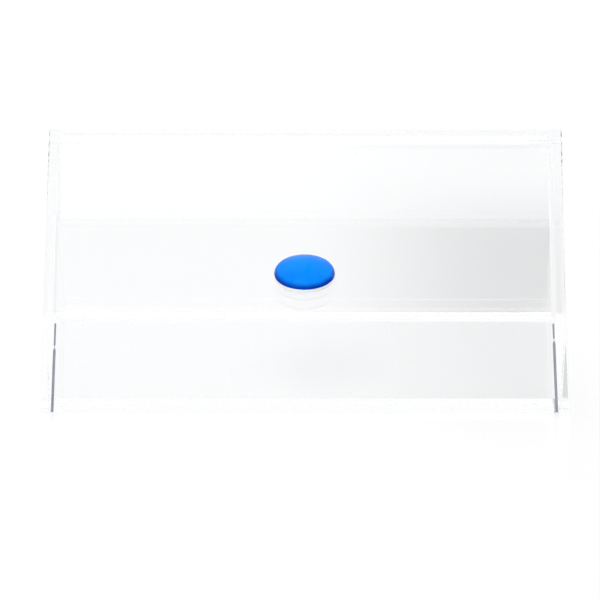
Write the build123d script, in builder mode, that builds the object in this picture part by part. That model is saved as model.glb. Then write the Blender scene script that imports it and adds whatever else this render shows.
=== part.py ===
from build123d import *

# Pick holder: a low clear acrylic case with a hinged lid and a domed pull.
#
# Five cemented sheets make the case, and its two ends lean in a little. The lid lies
# between the ends and turns on two clear pins at the back. A set stone near its front
# edge is the pull.
#
# Frame: +X to the right, +Y to the back, +Z up. The origin is the middle of the
# footprint, on the surface that the case stands on.

import os
from math import asin, cos, degrees, radians, sin, tan

# Case, in millimetres and degrees
case_width = 125.0  # across the side panels, at their bottom edge
case_depth = 82.0
case_height = 28.0  # to the lid's upper face
sheet = 3.0  # thickness of the acrylic
wall_lean = 2.4  # both side panels lean in towards the top
bond_line = 0.05  # cement between two panels
arris = 0.25  # polished edge of an outer corner
seam_groove = 0.35  # chamfer on both sheets where they meet in an upright outer seam

# Lid and hinge
lid_side_gap = 0.4  # between the lid and each side panel
lid_rear_gap = 0.3  # between the rounded rear edge and the back panel
lid_seat_gap = 0.15  # above the mitred edge of the front panel
lip_height = 0.35  # small flat that blunts the lid's mitred front edge
pin_diameter = 1.5
pin_press_clearance = 0.01  # radial, in the side panel
pin_running_clearance = 0.05  # radial, in the lid
pin_reach = 4.0  # of the pin into the lid
pin_recess = 0.15  # of the pin's outer end
bore_extra_depth = 0.5

# Pull
pull_from_front = 15.6  # its middle, from the case's front face
bezel_diameter = 14.7
bezel_height = 0.9
bezel_wall = 0.22
bezel_floor = 0.35
stone_clearance = 0.03
stone_dome_height = 2.7  # above the bezel's lip
crown_radius = 15.0
shoulder_radius = 1.4
pad_diameter = 14.2
pad_thickness = 0.3

# Sizes and places that follow
front = -case_depth / 2
back = case_depth / 2
inner_front = front + sheet
inner_back = back - sheet
pin_height = case_height - sheet / 2
pin_y = inner_back - lid_rear_gap - sheet / 2
pull_y = front + pull_from_front
lean = radians(wall_lean)
sheet_across = sheet / cos(lean)  # a leaning sheet, measured along X


def outer_half_width(height):
    """Half the width across the side panels' outer faces at a height."""
    return case_width / 2 - height * tan(lean)


def inner_half_width(height):
    """Half the clear width between the side panels at a height."""
    return outer_half_width(height) - sheet_across


def end_cut(side, gap):
    """The plane parallel to a side panel's inner face, a gap inside it."""
    return Plane(
        origin=(side * (inner_half_width(0) - gap / cos(lean)), 0, 0),
        z_dir=(side * cos(lean), 0, sin(lean)),
    )


def make_side_panel(side, side_name):
    """A leaning end sheet with the hole that holds a hinge pin."""
    with BuildPart() as panel:
        with BuildSketch(Plane.XZ):
            with BuildLine():
                Polyline(
                    (side * outer_half_width(0), 0),
                    (side * outer_half_width(case_height), case_height),
                    (side * inner_half_width(case_height), case_height),
                    (side * inner_half_width(0), 0),
                    close=True,
                )
            make_face()
        extrude(amount=case_depth / 2, both=True)
        outer_face = panel.faces().sort_by(Axis((0, 0, 0), (side, 0, 0)))[-1]
        chamfer(outer_face.edges(), length=arris)
        inner_face = panel.faces().sort_by(Axis((0, 0, 0), (side, 0, 0)))[0]
        chamfer(inner_face.edges().filter_by(Axis.Y, reverse=True), length=seam_groove)
        with BuildSketch(Plane.YZ):
            with Locations((pin_y, pin_height)):
                Circle(pin_diameter / 2 + pin_press_clearance)
        extrude(amount=side * case_width, mode=Mode.SUBTRACT)
    panel.part.label = f"{side_name}_side_panel"
    export_step(panel.part, f"parts/{panel.part.label}.step")


def make_front_panel():
    """The front sheet. Its top edge is mitred, and the lid's mitred edge rests on it."""
    outer_height = case_height - lip_height - lid_seat_gap
    with BuildPart() as panel:
        with BuildSketch(Plane.YZ):
            with BuildLine():
                Polyline(
                    (front, 0),
                    (inner_front, 0),
                    (inner_front, outer_height - sheet),
                    (front, outer_height),
                    close=True,
                )
            make_face()
        extrude(amount=case_width / 2, both=True)
        split(bisect_by=end_cut(-1, bond_line), keep=Keep.BOTTOM)
        split(bisect_by=end_cut(1, bond_line), keep=Keep.BOTTOM)
        outer_face = panel.faces().sort_by(Axis.Y)[0]
        chamfer(outer_face.edges().filter_by(Axis.X, reverse=True), length=seam_groove)
    panel.part.label = "front_panel"
    export_step(panel.part, "parts/front_panel.step")


def make_back_panel():
    """The back sheet, at full height: the open lid leans on its top edge."""
    with BuildPart() as panel:
        with BuildSketch(Plane.YZ):
            with Locations((back - sheet / 2, case_height / 2)):
                Rectangle(sheet, case_height)
        extrude(amount=case_width / 2, both=True)
        split(bisect_by=end_cut(-1, bond_line), keep=Keep.BOTTOM)
        split(bisect_by=end_cut(1, bond_line), keep=Keep.BOTTOM)
        outer_face = panel.faces().sort_by(Axis.Y)[-1]
        chamfer(outer_face.edges().filter_by(Axis.X), length=arris)
        outer_face = panel.faces().sort_by(Axis.Y)[-1]
        chamfer(outer_face.edges().filter_by(Axis.X, reverse=True), length=seam_groove)
    panel.part.label = "back_panel"
    export_step(panel.part, "parts/back_panel.step")


def make_floor_panel():
    """The sheet that the picks lie on, set in between the four walls."""
    with BuildPart() as panel:
        with BuildSketch(Plane.YZ):
            with Locations((0, sheet / 2)):
                Rectangle(case_depth - 2 * (sheet + bond_line), sheet)
        extrude(amount=case_width / 2, both=True)
        split(bisect_by=end_cut(-1, bond_line), keep=Keep.BOTTOM)
        split(bisect_by=end_cut(1, bond_line), keep=Keep.BOTTOM)
    panel.part.label = "floor_panel"
    export_step(panel.part, "parts/floor_panel.step")


def make_lid_panel():
    """The lid: mitred at the front, rounded about the pins at the rear."""
    bore_end = inner_half_width(pin_height) - lid_side_gap - pin_reach - bore_extra_depth
    with BuildPart() as panel:
        with BuildSketch(Plane.YZ):
            with BuildLine():
                Polyline(
                    (pin_y, case_height - sheet),
                    (front + sheet - lip_height, case_height - sheet),
                    (front, case_height - lip_height),
                    (front, case_height),
                    (pin_y, case_height),
                )
                ThreePointArc(
                    (pin_y, case_height),
                    (pin_y + sheet / 2, pin_height),
                    (pin_y, case_height - sheet),
                )
            make_face()
        extrude(amount=case_width / 2, both=True)
        split(bisect_by=end_cut(-1, lid_side_gap), keep=Keep.BOTTOM)
        split(bisect_by=end_cut(1, lid_side_gap), keep=Keep.BOTTOM)
        for side in (-1, 1):
            with BuildSketch(Plane.YZ.offset(side * bore_end)):
                with Locations((pin_y, pin_height)):
                    Circle(pin_diameter / 2 + pin_running_clearance)
            extrude(amount=side * case_width / 2, mode=Mode.SUBTRACT)
    panel.part.label = "lid_panel"
    export_step(panel.part, "parts/lid_panel.step")


def make_hinge_pin(side, side_name):
    """A clear rod, pressed into a side panel and running in the lid."""
    outer_end = outer_half_width(pin_height) - pin_recess
    inner_end = inner_half_width(pin_height) - lid_side_gap - pin_reach
    with BuildPart() as pin:
        with BuildSketch(Plane.YZ.offset(side * inner_end)):
            with Locations((pin_y, pin_height)):
                Circle(pin_diameter / 2)
        extrude(amount=side * (outer_end - inner_end))
        chamfer(pin.edges().filter_by(GeomType.CIRCLE), length=arris / 2)
    pin.part.label = f"{side_name}_hinge_pin"
    export_step(pin.part, f"parts/{pin.part.label}.step")


# The pull's levels, from the lid up
bezel_bottom = case_height + pad_thickness
stone_seat = bezel_bottom + bezel_floor
bezel_lip = bezel_bottom + bezel_height
seat_radius = bezel_diameter / 2 - bezel_wall


def make_adhesive_pad():
    """The disc that fixes the bezel to the lid."""
    with BuildPart() as pad:
        with BuildSketch(Plane.XY.offset(case_height)):
            with Locations((0, pull_y)):
                Circle(pad_diameter / 2)
        extrude(amount=pad_thickness)
    pad.part.label = "knob_adhesive_pad"
    export_step(pad.part, "parts/knob_adhesive_pad.step")


def make_bezel():
    """The shallow metal cup that holds the stone."""
    with BuildPart() as bezel:
        with BuildSketch(Plane.XY.offset(bezel_bottom)):
            with Locations((0, pull_y)):
                Circle(bezel_diameter / 2)
        extrude(amount=bezel_height)
        with BuildSketch(Plane.XY.offset(stone_seat)):
            with Locations((0, pull_y)):
                Circle(seat_radius)
        extrude(amount=bezel_height, mode=Mode.SUBTRACT)
        outer_rims = bezel.edges().filter_by(GeomType.CIRCLE).group_by(SortBy.RADIUS)[-1]
        fillet(outer_rims, radius=bezel_wall / 2)
    bezel.part.label = "knob_bezel"
    export_step(bezel.part, "parts/knob_bezel.step")


def make_stone():
    """The cabochon: a flat-bottomed girdle, a rounded shoulder and a low crown."""
    stone_radius = seat_radius - stone_clearance
    stone_bottom = stone_seat + stone_clearance
    crown_top = bezel_lip + stone_dome_height
    crown_centre = crown_top - crown_radius
    shoulder_x = stone_radius - shoulder_radius
    shoulder_tilt = asin(shoulder_x / (crown_radius - shoulder_radius))
    shoulder_z = crown_centre + (crown_radius - shoulder_radius) * cos(shoulder_tilt)
    crown_end = 90 - degrees(shoulder_tilt)
    with BuildPart() as stone:
        with BuildSketch(Plane.XZ.offset(-pull_y)):
            with BuildLine():
                CenterArc((0, crown_centre), crown_radius, 90, crown_end - 90)
                CenterArc((shoulder_x, shoulder_z), shoulder_radius, crown_end, -crown_end)
                Polyline(
                    (stone_radius, shoulder_z),
                    (stone_radius, stone_bottom),
                    (0, stone_bottom),
                    (0, crown_top),
                )
            make_face()
        revolve(axis=Axis((0, pull_y, 0), (0, 0, 1)))
    stone.part.label = "knob_cabochon"
    export_step(stone.part, "parts/knob_cabochon.step")


os.makedirs("parts", exist_ok=True)
make_floor_panel()
make_front_panel()
make_back_panel()
make_lid_panel()
for side, side_name in ((-1, "left"), (1, "right")):
    make_side_panel(side, side_name)
    make_hinge_pin(side, side_name)
make_adhesive_pad()
make_bezel()
make_stone()
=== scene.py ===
import math

import bmesh
import bpy
from mathutils import Matrix, Vector


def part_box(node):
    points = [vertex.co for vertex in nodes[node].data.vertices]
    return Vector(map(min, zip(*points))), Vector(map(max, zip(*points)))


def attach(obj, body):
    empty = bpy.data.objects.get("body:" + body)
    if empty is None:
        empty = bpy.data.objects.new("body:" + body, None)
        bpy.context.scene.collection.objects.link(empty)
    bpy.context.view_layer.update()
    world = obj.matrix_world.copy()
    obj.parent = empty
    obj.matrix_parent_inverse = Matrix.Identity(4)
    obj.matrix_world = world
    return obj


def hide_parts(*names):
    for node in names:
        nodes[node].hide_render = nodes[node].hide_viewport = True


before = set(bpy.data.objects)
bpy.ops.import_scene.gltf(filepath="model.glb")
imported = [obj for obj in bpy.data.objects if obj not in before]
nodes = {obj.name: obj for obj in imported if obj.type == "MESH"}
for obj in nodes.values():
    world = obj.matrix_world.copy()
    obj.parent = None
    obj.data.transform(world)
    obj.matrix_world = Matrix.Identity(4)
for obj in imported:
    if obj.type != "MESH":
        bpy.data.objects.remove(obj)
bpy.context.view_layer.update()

MM = 0.001

# ---------------------------------------------------------------- camera

CAMERA_AIM = (-1.18 * MM, 0, 5.58 * MM)
CAMERA_DISTANCE = 3.452
CAMERA_ELEVATION = 32.5  # degrees above the surface
CAMERA_YAW = -0.247
CAMERA_ROLL = -0.101
CAMERA_LENS = 871.1  # a long lens, so that the case's sides stay nearly parallel


def make_camera():
    """A long-lens camera in front of the case and above it."""
    yaw, pitch, roll = (math.radians(a) for a in (CAMERA_YAW, CAMERA_ELEVATION, CAMERA_ROLL))
    ahead = Vector((math.sin(yaw) * math.cos(pitch), math.cos(yaw) * math.cos(pitch), -math.sin(pitch)))
    level = Vector((math.cos(yaw), -math.sin(yaw), 0))
    upright = level.cross(ahead)
    right = level * math.cos(roll) + upright * math.sin(roll)
    up = upright * math.cos(roll) - level * math.sin(roll)
    data = bpy.data.cameras.new("camera")
    data.lens = CAMERA_LENS
    camera = bpy.data.objects.new("camera", data)
    bpy.context.scene.collection.objects.link(camera)
    turn = Matrix((right, up, -ahead)).transposed().to_4x4()
    camera.matrix_world = Matrix.Translation(Vector(CAMERA_AIM) - ahead * CAMERA_DISTANCE) @ turn
    bpy.context.scene.camera = camera


# ---------------------------------------------------------------- node helpers


def add(tree, kind, **settings):
    """A shader node with its properties set."""
    node = tree.nodes.new(kind)
    for key, value in settings.items():
        setattr(node, key, value)
    return node


def arithmetic(tree, operation, first, second=None, clamp=False):
    """A math node. Its inputs are sockets or numbers."""
    node = add(tree, "ShaderNodeMath", operation=operation, use_clamp=clamp)
    for socket, value in zip(node.inputs, (first, second)):
        if value is None:
            continue
        if isinstance(value, (int, float)):
            socket.default_value = value
        else:
            tree.links.new(value, socket)
    return node.outputs[0]


def blend_colour(tree, factor, first, second):
    """A colour that goes from first to second with the factor."""
    node = add(tree, "ShaderNodeMix", data_type="RGBA")
    colours = [s for s in node.inputs if s.type == "RGBA"]
    tree.links.new(factor, node.inputs[0])
    for socket, value in zip(colours, (first, second)):
        if isinstance(value, tuple):
            socket.default_value = (*value, 1)
        else:
            tree.links.new(value, socket)
    return next(s for s in node.outputs if s.type == "RGBA")


def fade(tree, value, low, high, to_low=0.0, to_high=1.0):
    """A value remapped from one range to another and clamped."""
    node = add(tree, "ShaderNodeMapRange")
    tree.links.new(value, node.inputs["Value"])
    node.inputs["From Min"].default_value = low
    node.inputs["From Max"].default_value = high
    node.inputs["To Min"].default_value = to_low
    node.inputs["To Max"].default_value = to_high
    return node.outputs["Result"]


def noise(tree, vector, scale, detail=2.0):
    """A noise value over a vector."""
    node = add(tree, "ShaderNodeTexNoise")
    node.inputs["Scale"].default_value = scale
    node.inputs["Detail"].default_value = detail
    tree.links.new(vector, node.inputs["Vector"])
    return node.outputs["Fac"]


def stretch(tree, vector, scale, turn=(0, 0, 0)):
    """A vector scaled and turned, for a pattern that runs one way."""
    node = add(tree, "ShaderNodeMapping")
    tree.links.new(vector, node.inputs["Vector"])
    node.inputs["Scale"].default_value = scale
    node.inputs["Rotation"].default_value = turn
    return node.outputs["Vector"]


def effect(name, outputs):
    """A new shader node group with a vector input and the named value outputs."""
    tree = bpy.data.node_groups.new(name, "ShaderNodeTree")
    tree.interface.new_socket("Vector", in_out="INPUT", socket_type="NodeSocketVector")
    for output in outputs:
        tree.interface.new_socket(output, in_out="OUTPUT", socket_type="NodeSocketFloat")
    return tree, add(tree, "NodeGroupInput").outputs["Vector"], add(tree, "NodeGroupOutput")


# ---------------------------------------------------------------- the case's sheets

FLOOR_LOW, FLOOR_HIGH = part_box("floor_panel")
SIDE_LOW, SIDE_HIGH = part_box("right_side_panel")
SHEET = FLOOR_HIGH.z
INNER_DEEP = SIDE_HIGH.y - SHEET  # from the middle to the front and back panels' inner faces
LEAN = math.tan(math.radians(2.4))  # of both ends, towards the top
GAP = 0.05 * MM  # room for cement between two sheets
INNER_HALF = FLOOR_HIGH.x + GAP  # from the middle to an end's inner face, at the foot
FRONT_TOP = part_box("front_panel")[1].z - SHEET / 2

# ---------------------------------------------------------------- shared effects


def between(tree, value, low, high):
    """1 where a value lies between two limits."""
    above = arithmetic(tree, "GREATER_THAN", value, low)
    return arithmetic(tree, "MULTIPLY", above, arithmetic(tree, "LESS_THAN", value, high))


def make_hairlines():
    """Fine scratches from handling, running three ways, broken up by patches."""
    tree, vector, out = effect("hairlines", ("Mask",))
    lines = None
    for turn in (0.3, 1.4, 2.5):
        run = stretch(tree, vector, (30, 900, 30), (0, 0, turn))
        line = fade(tree, noise(tree, run, 1.0, 1.0), 0.70, 0.76)
        lines = line if lines is None else arithmetic(tree, "MAXIMUM", lines, line)
    patches = fade(tree, noise(tree, vector, 60, 2.0), 0.48, 0.66)
    tree.links.new(arithmetic(tree, "MULTIPLY", lines, patches), out.inputs["Mask"])
    return tree


def make_dust():
    """Sparse specks of dust, and the soft film between them."""
    tree, vector, out = effect("dust", ("Specks", "Film"))
    cells = add(tree, "ShaderNodeTexVoronoi", feature="F1")
    cells.inputs["Scale"].default_value = 420
    tree.links.new(vector, cells.inputs["Vector"])
    specks = fade(tree, cells.outputs["Distance"], 0.10, 0.05)
    kept = fade(tree, noise(tree, vector, 900, 0.0), 0.62, 0.66)
    tree.links.new(arithmetic(tree, "MULTIPLY", specks, kept), out.inputs["Specks"])
    tree.links.new(fade(tree, noise(tree, vector, 35, 3.0), 0.35, 0.75), out.inputs["Film"])
    return tree


def make_waviness():
    """The slow rise and fall of a cast or polished face, as a height."""
    tree, vector, out = effect("waviness", ("Height",))
    tree.links.new(noise(tree, vector, 22, 1.0), out.inputs["Height"])
    return tree


def make_cement():
    """1 where cement joins two sheets into one clear body, with a few bubbles left out."""
    tree, vector, out = effect("cement", ("Joined",))
    place = add(tree, "ShaderNodeSeparateXYZ")
    tree.links.new(vector, place.inputs[0])
    x, y, z = place.outputs
    leaning = arithmetic(tree, "ADD", arithmetic(tree, "ABSOLUTE", x), arithmetic(tree, "MULTIPLY", z, LEAN))
    at_end = between(tree, leaning, INNER_HALF - 2 * GAP, INNER_HALF + GAP)
    deep = arithmetic(tree, "ABSOLUTE", y)
    at_wall = between(tree, deep, INNER_DEEP - GAP, 1)
    at_floor = between(tree, z, -1, SHEET + GAP)
    under_lid = between(tree, z, -1, FRONT_TOP)
    at_wall = arithmetic(tree, "MULTIPLY", at_wall, under_lid)
    ends = arithmetic(tree, "MULTIPLY", at_end, arithmetic(tree, "MAXIMUM", at_wall, at_floor))
    along = between(tree, deep, INNER_DEEP - 2 * GAP, INNER_DEEP + GAP)
    joints = arithmetic(tree, "MAXIMUM", ends, arithmetic(tree, "MULTIPLY", along, at_floor))
    bubbles = add(tree, "ShaderNodeTexVoronoi", feature="F1")
    bubbles.inputs["Scale"].default_value = 900
    tree.links.new(vector, bubbles.inputs["Vector"])
    sound = fade(tree, bubbles.outputs["Distance"], 0.10, 0.14)
    tree.links.new(arithmetic(tree, "MULTIPLY", joints, sound), out.inputs["Joined"])
    return tree


HAIRLINES = make_hairlines()
CEMENT = make_cement()
DUST = make_dust()
WAVINESS = make_waviness()


def use(tree, group, vector):
    """An effect placed in a material."""
    node = add(tree, "ShaderNodeGroup", node_tree=group)
    tree.links.new(vector, node.inputs["Vector"])
    return node.outputs


def start_material(name, **sockets):
    """A material's node tree, its shader and its object-space place."""
    material = bpy.data.materials.new(name)
    material.use_nodes = True
    tree = material.node_tree
    shader = tree.nodes["Principled BSDF"]
    for key, value in sockets.items():
        shader.inputs[key.replace("_", " ")].default_value = value
    place = add(tree, "ShaderNodeTexCoord")
    return material, tree, shader, place.outputs["Object"], place.outputs["Normal"]


def set_colour(tree, shader, factor, first, second):
    """The shader's colour, going from first to second with the factor."""
    tree.links.new(blend_colour(tree, factor, first, second), shader.inputs["Base Color"])


def set_roughness(tree, shader, value):
    """The shader's roughness, from a value that changes over the surface."""
    tree.links.new(value, shader.inputs["Roughness"])


def roughness_with_scratches(tree, place, smooth, scratched):
    """A roughness, with more where there are hairline scratches."""
    marks = use(tree, HAIRLINES, place)["Mask"]
    return arithmetic(tree, "ADD", smooth, arithmetic(tree, "MULTIPLY", marks, scratched))


def raise_surface(tree, shader, height, distance, strength=1.0):
    """A bump on the shader's normal."""
    bump = add(tree, "ShaderNodeBump")
    bump.inputs["Distance"].default_value = distance
    bump.inputs["Strength"].default_value = strength
    tree.links.new(height, bump.inputs["Height"])
    tree.links.new(bump.outputs["Normal"], shader.inputs["Normal"])


def away_from(tree, normal, axis):
    """1 on a panel's cut edges and 0 on its two faces, whose normals run along axis."""
    dot = add(tree, "ShaderNodeVectorMath", operation="DOT_PRODUCT")
    tree.links.new(normal, dot.inputs[0])
    dot.inputs[1].default_value = axis
    along = arithmetic(tree, "ABSOLUTE", dot.outputs["Value"])
    return fade(tree, along, 0.95, 0.90)


def let_light_through(tree, shader, tint):
    """Lets lamps and soft light reach what stands behind a clear sheet."""
    ray = add(tree, "ShaderNodeLightPath")
    soft = arithmetic(tree, "MAXIMUM", ray.outputs["Is Shadow Ray"], ray.outputs["Is Diffuse Ray"])
    clear = add(tree, "ShaderNodeBsdfTransparent")
    clear.inputs["Color"].default_value = (*tint, 1)
    both = add(tree, "ShaderNodeMixShader")
    tree.links.new(soft, both.inputs[0])
    tree.links.new(shader.outputs[0], both.inputs[1])
    tree.links.new(clear.outputs[0], both.inputs[2])
    tree.links.new(both.outputs[0], tree.nodes["Material Output"].inputs["Surface"])


# ---------------------------------------------------------------- materials


def acrylic(name, axis, cut, cemented=True):
    """Clear cast sheet: bright smooth faces, and cut edges with fine marks along cut."""
    material, tree, shader, place, normal = start_material(
        name, Transmission_Weight=1.0, IOR=1.49, Specular_IOR_Level=0.5
    )
    edge = away_from(tree, normal, axis)
    marks = use(tree, HAIRLINES, place)["Mask"]
    dust = use(tree, DUST, place)
    strokes = noise(tree, stretch(tree, place, cut), 1.0, 2.0)

    face_rough = fade(tree, dust["Film"], 0, 1, 0.0, 0.012)
    face_rough = arithmetic(tree, "ADD", face_rough, arithmetic(tree, "MULTIPLY", marks, 0.10))
    edge_rough = fade(tree, strokes, 0.3, 0.7, 0.004, 0.025)
    edge_rough = arithmetic(tree, "MULTIPLY", edge, edge_rough)
    rough = arithmetic(tree, "MAXIMUM", face_rough, edge_rough)
    rough = arithmetic(tree, "MAXIMUM", rough, arithmetic(tree, "MULTIPLY", dust["Specks"], 0.5))
    tree.links.new(rough, shader.inputs["Roughness"])

    colour = blend_colour(tree, edge, (0.99, 0.993, 0.996), (0.980, 0.988, 0.993))
    tree.links.new(colour, shader.inputs["Base Color"])

    wave = arithmetic(tree, "MULTIPLY", use(tree, WAVINESS, place)["Height"], 0.5)
    cuts = arithmetic(tree, "MULTIPLY", arithmetic(tree, "MULTIPLY", strokes, edge), 0.012)
    raise_surface(tree, shader, arithmetic(tree, "ADD", wave, cuts), 0.05 * MM)
    if cemented:
        joined = use(tree, CEMENT, place)["Joined"]
        tree.links.new(arithmetic(tree, "SUBTRACT", 1.0, joined), shader.inputs["Alpha"])
    let_light_through(tree, shader, (0.985, 0.985, 0.985))
    return material


def clear_rod():
    """Extruded clear rod, with faint lines along it from the die."""
    material, tree, shader, place, normal = start_material("clear rod", Transmission_Weight=1.0, IOR=1.49)
    lines = noise(tree, stretch(tree, place, (150, 5000, 5000)), 1.0, 2.0)
    smooth = fade(tree, lines, 0.3, 0.7, 0.02, 0.08)
    set_roughness(tree, shader, roughness_with_scratches(tree, place, smooth, 0.2))
    set_colour(tree, shader, lines, (0.97, 0.98, 0.985), (0.99, 0.99, 0.99))
    raise_surface(tree, shader, lines, 0.004 * MM)
    let_light_through(tree, shader, (0.985, 0.985, 0.985))
    return material


def bezel_metal():
    """Pale polished metal, a little dulled where dust settles."""
    material, tree, shader, place, normal = start_material("pale bezel metal", Metallic=1.0)
    film = use(tree, DUST, place)["Film"]
    marks = use(tree, HAIRLINES, place)["Mask"]
    rough = arithmetic(tree, "ADD", fade(tree, film, 0, 1, 0.14, 0.26), marks)
    tree.links.new(rough, shader.inputs["Roughness"])
    colour = blend_colour(tree, film, (0.93, 0.93, 0.97), (0.84, 0.84, 0.90))
    tree.links.new(colour, shader.inputs["Base Color"])
    raise_surface(tree, shader, use(tree, WAVINESS, place)["Height"], 0.02 * MM)
    return material


def blue_stone():
    """Polished blue glass over a bright foil, with painted shading: lighter where its crown faces up, darker
    towards its rim.
    """
    material, tree, shader, place, normal = start_material(
        "blue stone", IOR=1.52, Specular_IOR_Level=0.03, Coat_Weight=0.04, Coat_Roughness=0.03
    )
    up = add(tree, "ShaderNodeSeparateXYZ")
    tree.links.new(normal, up.inputs[0])
    # Painted shade: the colour is lightest where the dome faces straight up and darkest towards its sloping
    # rim, standing in for how light falls on it.
    painted_crown_light = fade(tree, up.outputs["Z"], 0.35, 1.0)
    cloud = noise(tree, place, 260, 3.0)
    depth = arithmetic(tree, "ADD", painted_crown_light, fade(tree, cloud, 0.3, 0.7, -0.12, 0.12), clamp=True)
    # depth here is the painted crown light plus random cloudy tone, not the thickness of the glass.
    set_colour(tree, shader, depth, (0.0, 0.045, 0.45), (0.0, 0.26, 1.0))
    smooth = fade(tree, use(tree, DUST, place)["Film"], 0, 1, 0.05, 0.11)
    set_roughness(tree, shader, roughness_with_scratches(tree, place, smooth, 0.2))
    raise_surface(tree, shader, use(tree, WAVINESS, place)["Height"], 0.03 * MM)
    return material


def foam():
    """White foam tape, with its open cells."""
    material, tree, shader, place, normal = start_material("white foam tape")
    cells = noise(tree, place, 3500, 2.0)
    set_roughness(tree, shader, fade(tree, cells, 0.3, 0.7, 0.75, 0.95))
    set_colour(tree, shader, cells, (0.84, 0.84, 0.85), (0.93, 0.93, 0.93))
    raise_surface(tree, shader, cells, 0.05 * MM)
    return material


def cured_cement():
    """Cement set in a groove: greyish, clouded, with a soft gloss."""
    material, tree, shader, place, normal = start_material("cured cement", IOR=1.49)
    cloud = noise(tree, stretch(tree, place, (900, 900, 250)), 1.0, 3.0)
    set_colour(tree, shader, cloud, (0.24, 0.25, 0.31), (0.40, 0.41, 0.48))
    set_roughness(tree, shader, fade(tree, cloud, 0.3, 0.7, 0.18, 0.34))
    raise_surface(tree, shader, cloud, 0.01 * MM)
    return material


ALONG_X, ALONG_Y, ALONG_Z = (1, 0, 0), (0, 1, 0), (0, 0, 1)
finishes = {
    "lid_panel": acrylic("clear acrylic, lid", ALONG_Z, (4000, 4000, 150), cemented=False),
    "floor_panel": acrylic("clear acrylic, floor", ALONG_Z, (4000, 4000, 150)),
    "front_panel": acrylic("clear acrylic, front", ALONG_Y, (4000, 150, 4000)),
    "back_panel": acrylic("clear acrylic, back", ALONG_Y, (4000, 150, 4000)),
    "left_side_panel": acrylic("clear acrylic, left end", ALONG_X, (150, 4000, 4000)),
    "right_side_panel": acrylic("clear acrylic, right end", ALONG_X, (150, 4000, 4000)),
    "left_hinge_pin": clear_rod(),
    "knob_adhesive_pad": foam(),
    "knob_bezel": bezel_metal(),
    "knob_cabochon": blue_stone(),
}
finishes["right_hinge_pin"] = finishes["left_hinge_pin"]
for name, node in nodes.items():
    node.data.materials.clear()
    node.data.materials.append(finishes[name])

# ---------------------------------------------------------------- pieces built from rings


def close_rings(name, mesh, rings, material):
    """An object with its skin stretched over a stack of rings, and closed at both ends."""
    for lower, upper in zip(rings, rings[1:]):
        for i in range(len(lower)):
            j = (i + 1) % len(lower)
            mesh.faces.new((lower[i], lower[j], upper[j], upper[i]))
    mesh.faces.new(rings[0])
    mesh.faces.new(rings[-1])
    bmesh.ops.recalc_face_normals(mesh, faces=mesh.faces)
    data = bpy.data.meshes.new(name)
    mesh.to_mesh(data)
    mesh.free()
    data.materials.append(material)
    piece = bpy.data.objects.new(name, data)
    bpy.context.scene.collection.objects.link(piece)
    return piece


# ---------------------------------------------------------------- cement in the upright front seams

GROOVE = 0.35 * MM  # depth of the groove, and half its width, as the solids have it
BEAD_FOOT = 0.3 * MM
BEAD_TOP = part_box("lid_panel")[0].z
BEAD_INSET = 0.01 * MM  # from the groove's walls
BEAD_ROWS = 90
BEAD_FULL, BEAD_STARVED, BEAD_PINCHED = 0.92, 0.62, 0.12  # parts of the groove's half width
BEAD_HOLLOW = 0.12  # of the half width, how far the middle sinks
BUBBLE_RADIUS = 0.7 * MM
BUBBLE_HEIGHTS = {"left": 18.3 * MM, "right": 20.4 * MM}


def bead_half_width(height, bubble):
    """Full below the bubble, starved above it, and pinched where the bubble is."""
    width = BEAD_FULL if height < bubble else BEAD_STARVED
    pinch = min(1.0, max(BEAD_PINCHED, abs(height - bubble) / BUBBLE_RADIUS))
    return GROOVE * width * pinch


def make_cement_bead(side, side_name, material):
    """The cement that fills one groove, with a hollow front where it shrank as it set."""
    front = SIDE_LOW.y
    mesh = bmesh.new()
    rings = []
    for row in range(BEAD_ROWS + 1):
        height = BEAD_FOOT + (BEAD_TOP - BEAD_FOOT) * row / BEAD_ROWS
        seam = side * (INNER_HALF - GAP / 2 - height * LEAN)
        half = bead_half_width(height, BUBBLE_HEIGHTS[side_name])
        ring = [mesh.verts.new((seam, front + GROOVE - BEAD_INSET, height))]
        for across in (-1, -0.5, 0, 0.5, 1):
            hollow = BEAD_HOLLOW * half * (1 - across * across)
            depth = GROOVE - half + BEAD_INSET + hollow
            ring.append(mesh.verts.new((seam + across * half, front + depth, height)))
        rings.append(ring)
    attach(close_rings(f"{side_name}_cement_bead", mesh, rings, material), "case")


cement_finish = cured_cement()
for side, side_name in ((-1, "left"), (1, "right")):
    make_cement_bead(side, side_name, cement_finish)

# ---------------------------------------------------------------- the pull's foam pad

PAD_CLEARANCE = 0.01 * MM  # above the lid and below the bezel
PAD_BULGE = 0.1 * MM  # how far the squeezed foam swells between its faces
PAD_UNEVEN = 0.03 * MM  # depth of the dips round its edge
PAD_SEGMENTS = 96
PAD_LEVELS = 8


def make_pad(material):
    """The squeezed foam disc under the bezel, with a swollen and slightly uneven edge."""
    low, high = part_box("knob_adhesive_pad")
    middle = (low.y + high.y) / 2
    bottom, top = low.z + PAD_CLEARANCE, high.z - PAD_CLEARANCE
    mesh = bmesh.new()
    rings = []
    for level in range(PAD_LEVELS + 1):
        rise = level / PAD_LEVELS
        swell = PAD_BULGE * (math.sin(math.pi * rise) - 1)
        ring = []
        for step in range(PAD_SEGMENTS):
            turn = 2 * math.pi * step / PAD_SEGMENTS
            uneven = PAD_UNEVEN * (math.sin(5 * turn) + math.sin(11 * turn + 1) - 2) / 2
            radius = high.x + swell + uneven
            height = bottom + (top - bottom) * rise
            ring.append(mesh.verts.new((radius * math.cos(turn), middle + radius * math.sin(turn), height)))
        rings.append(ring)
    pad = close_rings("foam_pad", mesh, rings, material)
    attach(pad, "lid")
    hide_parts("knob_adhesive_pad")


make_pad(finishes["knob_adhesive_pad"])

# ---------------------------------------------------------------- studio

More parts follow.
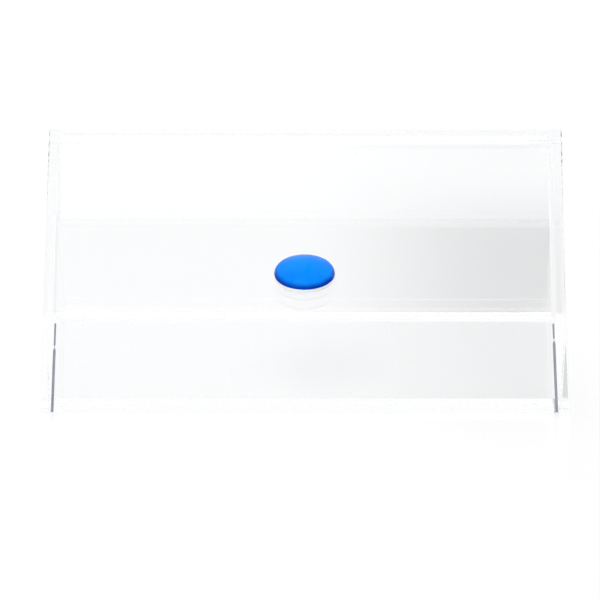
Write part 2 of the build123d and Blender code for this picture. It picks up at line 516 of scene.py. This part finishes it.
SURROUND = 0.92
CARD_PLACE = 0.6
CARD_FADE = (-0.01, 0.06)
CARD_LIGHT = (1.0, 0.3)
CARD_END = (0.085, 0.12)  # where it turns bright again, past the case's right end
CARD_RISE = (0.385, 0.412)  # heights between which its grey comes in, for the lid's own reflection
LID_DEPTH = 3.5  # rays that met fewer surfaces than this were mirrored by the lid
GUIDED_DEPTH = 10.5  # rays that met more than this were guided along inside a sheet


def make_floor():
    """A wide pale sheet with a soft sheen."""
    size = 4.0
    mesh = bpy.data.meshes.new("floor")
    corners = [(-size, -size, 0), (size, -size, 0), (size, size, 0), (-size, size, 0)]
    mesh.from_pydata(corners, [], [(0, 1, 2, 3)])
    floor = bpy.data.objects.new("floor", mesh)
    bpy.context.scene.collection.objects.link(floor)
    floor.location.z = -0.05 * MM
    material, tree, shader, place, normal = start_material("pale floor", IOR=1.45)
    tone = noise(tree, place, 3, 2.0)
    set_colour(tree, shader, tone, (0.93, 0.93, 0.935), (0.95, 0.95, 0.95))
    set_roughness(tree, shader, fade(tree, tone, 0, 1, 0.06, 0.10))
    mesh.materials.append(material)


def make_softbox(name, place, aim, size, power):
    """A square soft light."""
    data = bpy.data.lights.new(name, "AREA")
    data.shape = "SQUARE"
    data.size = size
    data.energy = power
    light = bpy.data.objects.new(name, data)
    bpy.context.scene.collection.objects.link(light)
    light.location = place
    light.rotation_mode = "QUATERNION"
    light.rotation_quaternion = (Vector(aim) - Vector(place)).to_track_quat("-Z", "Y")


def make_world():
    """An even white surround."""
    world = bpy.data.worlds.new("studio")
    bpy.context.scene.world = world
    world.use_nodes = True
    background = world.node_tree.nodes["Background"]
    background.inputs["Color"].default_value = (1, 1, 1, 1)
    background.inputs["Strength"].default_value = SURROUND


def make_card():
    """A tall bright card behind the case, grey behind its right half, that only gloss shows."""
    mesh = bpy.data.meshes.new("reflection card")
    width, foot, top = 1.5, 0.03, 1.2
    corners = [(x, CARD_PLACE, z) for x, z in ((-width, foot), (width, foot), (width, top), (-width, top))]
    mesh.from_pydata(corners, [], [(0, 1, 2, 3)])
    card = bpy.data.objects.new("reflection card", mesh)
    bpy.context.scene.collection.objects.link(card)
    card.visible_camera = False
    card.visible_diffuse = False
    card.visible_shadow = False
    material = bpy.data.materials.new("reflection card")
    material.use_nodes = True
    tree = material.node_tree
    tree.nodes.remove(tree.nodes["Principled BSDF"])
    place = add(tree, "ShaderNodeSeparateXYZ")
    tree.links.new(add(tree, "ShaderNodeTexCoord").outputs["Object"], place.inputs[0])
    grey = []
    ramps = (("X", CARD_FADE, (0, 1)), ("X", CARD_END, (1, 0)), ("Z", CARD_RISE, (0, 1)))
    for axis, limits, ends in ramps:
        step = add(tree, "ShaderNodeMapRange", interpolation_type="SMOOTHSTEP")
        tree.links.new(place.outputs[axis], step.inputs["Value"])
        for socket, value in zip(step.inputs[1:5], (*limits, *ends)):
            socket.default_value = value
        grey.append(step.outputs["Result"])
    depth = add(tree, "ShaderNodeLightPath").outputs["Ray Depth"]
    risen = arithmetic(tree, "MAXIMUM", grey[2], arithmetic(tree, "GREATER_THAN", depth, LID_DEPTH))
    greyness = arithmetic(tree, "MULTIPLY", arithmetic(tree, "MULTIPLY", grey[0], grey[1]), risen)
    greyness = arithmetic(tree, "MULTIPLY", greyness, arithmetic(tree, "LESS_THAN", depth, GUIDED_DEPTH))
    glow = add(tree, "ShaderNodeEmission")
    tree.links.new(fade(tree, greyness, 0, 1, *CARD_LIGHT), glow.inputs["Strength"])
    tree.links.new(glow.outputs[0], tree.nodes["Material Output"].inputs["Surface"])
    mesh.materials.append(material)


make_camera()
make_floor()
make_world()
make_card()
make_softbox("overhead softbox", (-0.15, -0.2, 1.3), (0, 0, 0), 1.0, 4)
light_paths = bpy.context.scene.cycles
MOST_BOUNCES = 64  # light is guided a long way inside the sheets
light_paths.max_bounces = MOST_BOUNCES
light_paths.transmission_bounces = MOST_BOUNCES
light_paths.glossy_bounces = MOST_BOUNCES
light_paths.transparent_max_bounces = MOST_BOUNCES

view = bpy.context.scene.view_settings
view.view_transform = "Standard"
